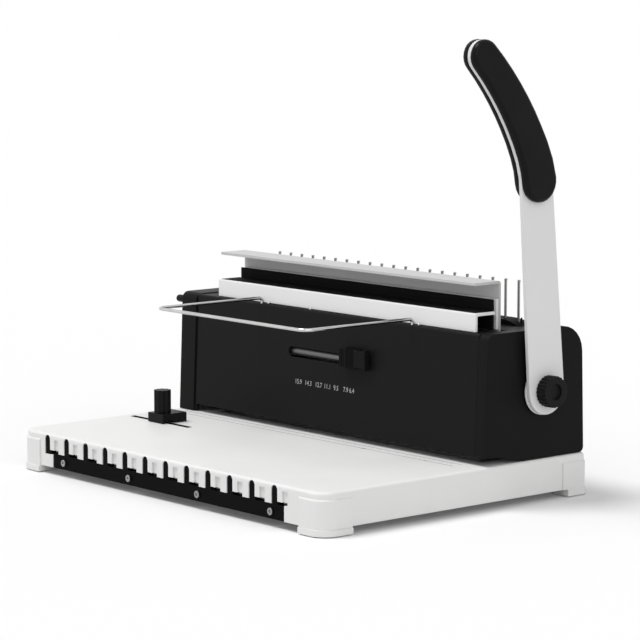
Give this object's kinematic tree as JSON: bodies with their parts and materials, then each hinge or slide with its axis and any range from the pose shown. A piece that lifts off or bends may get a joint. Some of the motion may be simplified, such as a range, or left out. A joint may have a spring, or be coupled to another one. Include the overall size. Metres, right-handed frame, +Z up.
{
  "type": "comb and wire binding machine",
  "caption": "Desk binding machine: white paper table, black body with punches and a wire-closing jaw, comb-opening fingers, and a long side lever that drives them.",
  "frame": {"origin": "middle of the footprint, on the surface that the machine stands on", "axes": "+X along the body towards the lever, -Y towards the person using it, +Z up"},
  "size_m": [0.4038, 0.27, 0.3505],
  "materials": {
    "white_plastic": "fine-textured moulded plastic",
    "white_steel": "satin white powder coat",
    "black_plastic": "fine-textured moulded plastic",
    "black_steel": "satin black powder coat",
    "grey_steel": "oiled machined steel",
    "bright_steel": "zinc-plated",
    "chrome_wire": "bright chrome plate",
    "black_rubber": "matt",
    "black_grip": "polished plastic",
    "bearing_plastic": "low-friction plastic"
  },
  "bodies": {
    "machine_body": {"base_tray": "white_plastic", "rubber_foot_front_left": "black_rubber", "rubber_foot_front_right": "black_rubber", "rubber_foot_rear_left": "black_rubber", "rubber_foot_rear_right": "black_rubber", "front_strip": "black_steel", "strip_screw_1": "bright_steel", "strip_screw_2": "bright_steel", "strip_screw_3": "bright_steel", "strip_screw_4": "bright_steel", "left_end_cap": "black_plastic", "right_end_cap": "black_plastic", "front_panel": "black_steel", "rear_cover": "black_steel", "panel_rivet_1": "bright_steel", "panel_rivet_2": "bright_steel", "panel_rivet_3": "bright_steel", "left_side_frame": "grey_steel", "right_side_frame": "grey_steel", "left_bearing": "bearing_plastic", "right_bearing": "bearing_plastic", "punch_guide": "grey_steel", "die_block": "grey_steel", "lower_jaw": "white_steel", "size_rod": "bright_steel", "rod_bracket_left": "black_plastic", "rod_bracket_right": "black_plastic", "left_return_spring": "bright_steel", "right_return_spring": "bright_steel"},
    "press": {"punch_bar": "grey_steel", "upper_jaw": "white_steel", "magnet_bar": "black_rubber", "backing_plate": "white_steel", "jaw_screw_1": "bright_steel", "jaw_screw_2": "bright_steel"},
    "comb_opener": {"comb_slide_bar": "grey_steel", "finger_carrier": "black_plastic", "comb_fingers": "bright_steel"},
    "lever": {"cross_shaft": "grey_steel", "left_cam": "grey_steel", "right_cam": "grey_steel", "lever_hub": "white_plastic", "lever_arm": "white_steel", "grip_outer": "black_grip", "grip_inner": "black_grip"},
    "pivot_clamp": {"pivot_knob": "black_plastic"},
    "depth_setting": {"depth_knob": "black_plastic", "depth_spindle": "bright_steel"},
    "depth_bar": {"depth_stop": "grey_steel"},
    "size_slider": {"size_carriage": "black_plastic", "size_knob": "black_plastic"},
    "edge_guide": {"paper_guide": "black_plastic", "guide_nut": "bright_steel"},
    "guide_clamp": {"guide_knob": "black_plastic"},
    "comb_rest": {"wire_rest": "chrome_wire"},
    "chip_drawer": {"chip_tray": "white_plastic"}
  },
  "joints": [
    {"name": "lever_pull", "type": "hinge", "parent": "machine_body", "child": "lever", "pos_m": [0, 0.08465, 0.0856], "axis": [1, 0, 0], "range_deg": [0, 75], "stiffness_Nm_per_rad": 0.6, "springref_deg": -45.84},
    {"name": "press_slide", "type": "slide", "parent": "machine_body", "child": "press", "axis": [0, 0, -1], "range_m": [0, 0.0125], "deforming": ["left_return_spring", "right_return_spring"]},
    {"name": "comb_slide", "type": "slide", "parent": "machine_body", "child": "comb_opener", "axis": [0, 1, 0], "range_m": [0, 0.012]},
    {"name": "pivot_clamp_turn", "type": "hinge", "parent": "lever", "child": "pivot_clamp", "pos_m": [0.1973, 0.08465, 0.0856], "axis": [1, 0, 0], "range_deg": [0, 360]},
    {"name": "depth_turn", "type": "hinge", "parent": "machine_body", "child": "depth_setting", "pos_m": [-0.1931, 0.03745, 0.1244], "axis": [1, 0, 0], "range_deg": [0, 90]},
    {"name": "depth_stop_slide", "type": "slide", "parent": "machine_body", "child": "depth_bar", "axis": [0, 1, 0], "range_m": [0, 0.0025]},
    {"name": "size_slide", "type": "slide", "parent": "machine_body", "child": "size_slider", "axis": [-1, 0, 0], "range_m": [0, 0.066]},
    {"name": "edge_guide_slide", "type": "slide", "parent": "machine_body", "child": "edge_guide", "axis": [1, 0, 0], "range_m": [-0.036, 0.031]},
    {"name": "guide_clamp_turn", "type": "hinge", "parent": "edge_guide", "child": "guide_clamp", "pos_m": [-0.1369, -0.02875, 0.05], "axis": [0, 0, 1], "range_deg": [0, 180]},
    {"name": "comb_rest_lift", "type": "slide", "parent": "machine_body", "child": "comb_rest", "axis": [0, 0, 1], "range_m": [0, 0.009]},
    {"name": "chip_drawer_pull", "type": "slide", "parent": "machine_body", "child": "chip_drawer", "axis": [0, 1, 0], "range_m": [0, 0.07]}
  ],
  "couplings": [
    {"joint": "press_slide", "follows": "lever_pull", "m_per_rad": 0.009549},
    {"joint": "comb_slide", "follows": "lever_pull", "m_per_rad": 0.009167},
    {"joint": "depth_turn", "follows": "depth_stop_slide", "rad_per_m": 628.32}
  ]
}
